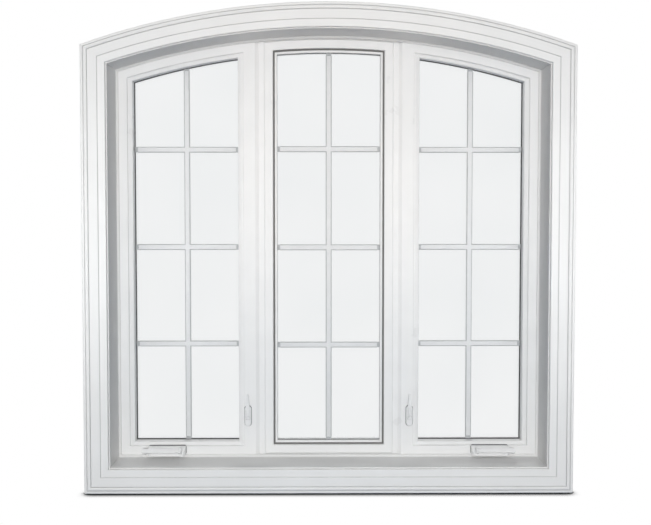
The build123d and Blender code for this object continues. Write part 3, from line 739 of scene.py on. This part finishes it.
def arched_ring(name, low, high, width):
    """A ring whose outer edge runs up both sides of a box and over its arch, and whose depth is the box's."""
    radius = high.z - ARCH_CENTRE_Z
    corner_z = ARCH_CENTRE_Z + math.sqrt(radius**2 - high.x**2)
    clear_selection()
    bpy.ops.mesh.primitive_plane_add(
        size=1, location=(0, low.y, (low.z + corner_z) / 2), rotation=(math.pi / 2, 0, 0)
    )
    ring = bpy.context.object
    ring.name = name
    ring.scale = (high.x - low.x, corner_z - low.z, 1)
    bpy.ops.object.transform_apply(location=True, rotation=True, scale=True)
    points = ring.data.vertices
    pick(ring, "EDGE", lambda edge: all(points[index].co.z > corner_z - MM for index in edge.vertices))
    bpy.ops.mesh.delete(type="EDGE")
    pick(ring, "VERT", lambda point: point.co.z > corner_z - MM and point.co.x < 0)
    turn = 2 * math.asin(high.x / radius)
    bpy.ops.mesh.spin(steps=ARC_STEPS, angle=-turn, center=(0, low.y, ARCH_CENTRE_Z), axis=(0, 1, 0))
    pick(ring, "EDGE", lambda edge: True)
    bpy.ops.mesh.remove_doubles(threshold=0.05 * MM)
    bpy.ops.mesh.edge_face_add()
    bpy.ops.mesh.inset(thickness=width)
    bpy.ops.mesh.delete(type="FACE")
    pick(ring, "FACE", lambda face: True)
    bpy.ops.mesh.extrude_region_move(TRANSFORM_OT_translate={"value": (0, high.y - low.y, 0)})
    pick(ring, "FACE", lambda face: True)
    bpy.ops.mesh.normals_make_consistent(inside=False)
    bpy.ops.object.mode_set(mode="OBJECT")
    soften(ring)
    return ring


def shade_rubber(name, dark, pale):
    rubber = Finish(name)
    grain = rubber.noise(800, 2)
    rubber.feed("Base Color", rubber.ramp(grain, dark, pale))
    rubber.feed("Roughness", rubber.ramp(grain, 0.55, 0.7))
    rubber.bump(grain, 0.05 * MM)
    return rubber.material


bead_low, bead_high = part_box("centre_glazing_beads")
step_in = Vector((GROOVE_FROM_BEAD, 0, GROOVE_FROM_BEAD))
shade_strip_low = bead_low + step_in
shade_strip_high = bead_high - step_in
shade_strip_high.y = bead_high.y - BEAD_BASE
shade_strip_low.y = shade_strip_high.y - SHADE_STRIP_THICKNESS
# painted shade: a dark grey strip at the bottom of the groove, where the groove is in shadow
groove_shade_strip = arched_ring("centre_groove_shade_strip", shade_strip_low, shade_strip_high, GROOVE_WIDTH)
groove_shade_rubber = shade_rubber("grey_groove_shade_rubber", (0.15, 0.148, 0.145), (0.20, 0.197, 0.193))
groove_shade_strip.data.materials.append(groove_shade_rubber)
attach(groove_shade_strip, "window")
print(groove_shade_strip.name, len(groove_shade_strip.data.polygons), "faces")

# %% [markdown]
# Locks and operators are screwed down over thin foam gaskets, which keep the draught out of the holes
# behind them. Each gasket is cut a little larger than the casting and coloured near black, so a fine dark
# line shows round it: painted shade, for the contact shadow there. Each starts as a block as large as the
# casting's foot, and the bevel rounds its corners.


# %% Gaskets under the hardware, dark for painted shade
GASKET_THICKNESS = 1.8 * MM
LOCK_SHADE_EDGE = 1.2 * MM
COVER_SHADE_EDGE = 1.2 * MM


# painted shade: the gaskets are near black, so a dark line shows round each casting as its contact shadow
gasket_shade_foam = shade_rubber("dark_gasket_shade_foam", (0.05, 0.051, 0.053), (0.08, 0.081, 0.084))


def gasket(name, low, high, corner, edge):
    """A flat pad on the frame's face, behind a casting's box, with rounded corners."""
    size = Vector((high.x - low.x + 2 * edge, GASKET_THICKNESS, high.z - low.z + 2 * edge))
    centre = Vector(((low.x + high.x) / 2, FRAME_FACE - GASKET_THICKNESS / 2, (low.z + high.z) / 2))
    pad = start_block(name, centre, size)
    pick(pad, "EDGE", lambda side: abs(edge_direction(pad, side).y) > 0.9)
    bpy.ops.mesh.bevel(offset=corner, segments=8)
    bpy.ops.object.mode_set(mode="OBJECT")
    soften(pad)
    pad.data.materials.append(gasket_shade_foam)
    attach(pad, "window")
    return pad


for side in ("left", "right"):
    low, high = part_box(f"{side}_lock_plate")
    gasket(f"{side}_lock_shade_gasket", low, high, (high.x - low.x) / 2, LOCK_SHADE_EDGE)
    low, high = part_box(f"{side}_operator_cover")
    gasket(f"{side}_cover_shade_gasket", low, high, 8 * MM, COVER_SHADE_EDGE)
print("gaskets under the locks and operators")

# %% [markdown]
# A cast lever has a ridge down its face, because two sloping flanks stiffen a thin arm and give the thumb
# a hold. The ridge is a block laid on the lever: its front face is pinched to a crest, its upper end is
# narrowed and sunk to follow the taper, and a small bevel rounds the crest. It rides the lever, so it
# turns with it.

# %% Ridge on the lock levers
RIDGE_HEIGHT = 4 * MM
RIDGE_SINK = 0.6 * MM
RIDGE_START = 14 * MM


def front_of(node, low_z, high_z):
    """The depth of a solid's room side between two heights."""
    return min(point.co.y for point in NODES[node].data.vertices if low_z <= point.co.z <= high_z)


def half_width_at(node, low_z, high_z):
    across = [point.co.x for point in NODES[node].data.vertices if low_z <= point.co.z <= high_z]
    return (max(across) - min(across)) / 2


def lever_ridge(side):
    node = f"{side}_lock_lever"
    low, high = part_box(node)
    middle = (low.x + high.x) / 2
    foot, tip = low.z + RIDGE_START, high.z - 2 * MM
    foot_front = front_of(node, low.z, foot + 20 * MM)
    tip_front = front_of(node, high.z - 4 * MM, high.z)
    tip_share = half_width_at(node, high.z - 4 * MM, high.z) / ((high.x - low.x) / 2)
    size = Vector((high.x - low.x - MM, RIDGE_HEIGHT, tip - foot))
    centre = Vector((middle, foot_front + RIDGE_SINK - RIDGE_HEIGHT / 2, (foot + tip) / 2))
    ridge = start_block(f"{side}_lever_ridge", centre, size)
    pick(ridge, "FACE", lambda face: face.normal.y < -0.9)
    bpy.ops.transform.resize(value=(0.12, 1, 0.94))
    pick(ridge, "FACE", lambda face: face.normal.z > 0.5)
    bpy.ops.transform.resize(value=(tip_share, 0.5, 1))
    bpy.ops.transform.translate(value=(0, tip_front - foot_front, 0))
    points = ridge.data.vertices
    pick(ridge, "EDGE", lambda edge: all(points[index].co.y < centre.y for index in edge.vertices))
    bpy.ops.mesh.bevel(offset=0.4 * MM, segments=2)
    bpy.ops.object.mode_set(mode="OBJECT")
    soften(ridge, 25)
    ridge.data.materials.append(enamel.material)
    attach(ridge, f"{side}_lever")
    return ridge


for side in ("left", "right"):
    print(lever_ridge(side).name, "rides", f"{side}_lever")
